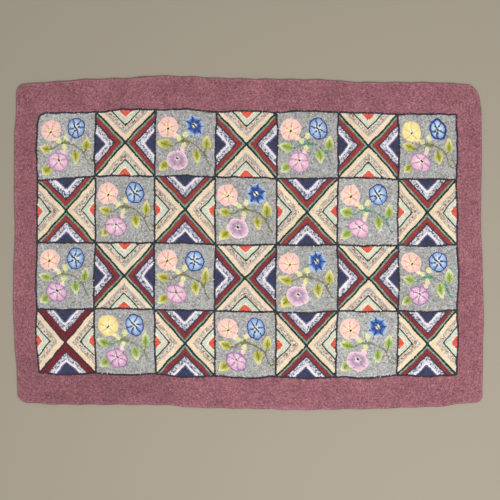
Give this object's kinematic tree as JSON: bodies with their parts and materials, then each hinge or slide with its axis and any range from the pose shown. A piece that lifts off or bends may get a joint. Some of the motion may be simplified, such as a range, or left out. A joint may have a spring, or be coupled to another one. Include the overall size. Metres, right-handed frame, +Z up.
{
  "type": "hooked rug",
  "caption": "Flat rectangular hooked wool rug, a panel of flower blocks and crossed-stripe blocks in a plain wide border, with a whipped edge; lies on a floor.",
  "frame": {"origin": "under the middle of the rug's outer box, on the surface it lies on", "axes": "+X along the rug's length, +Y across its width towards the back edge, +Z up out of the pile"},
  "size_m": [1.6, 1.1384, 0.009],
  "materials": {
    "wool_pile": "matt looped wool, dusty rose border round grey, cream, red, navy and green blocks",
    "whipping_wool": "matt rose-brown wool yarn, a little darker than the border, sewn over and over the edge",
    "ground_cloth": "coarse plain-woven burlap, raw and matt"
  },
  "bodies": {
    "root": {"hooked_rug": "wool_pile", "edge_whipping": "whipping_wool"}
  },
  "joints": []
}
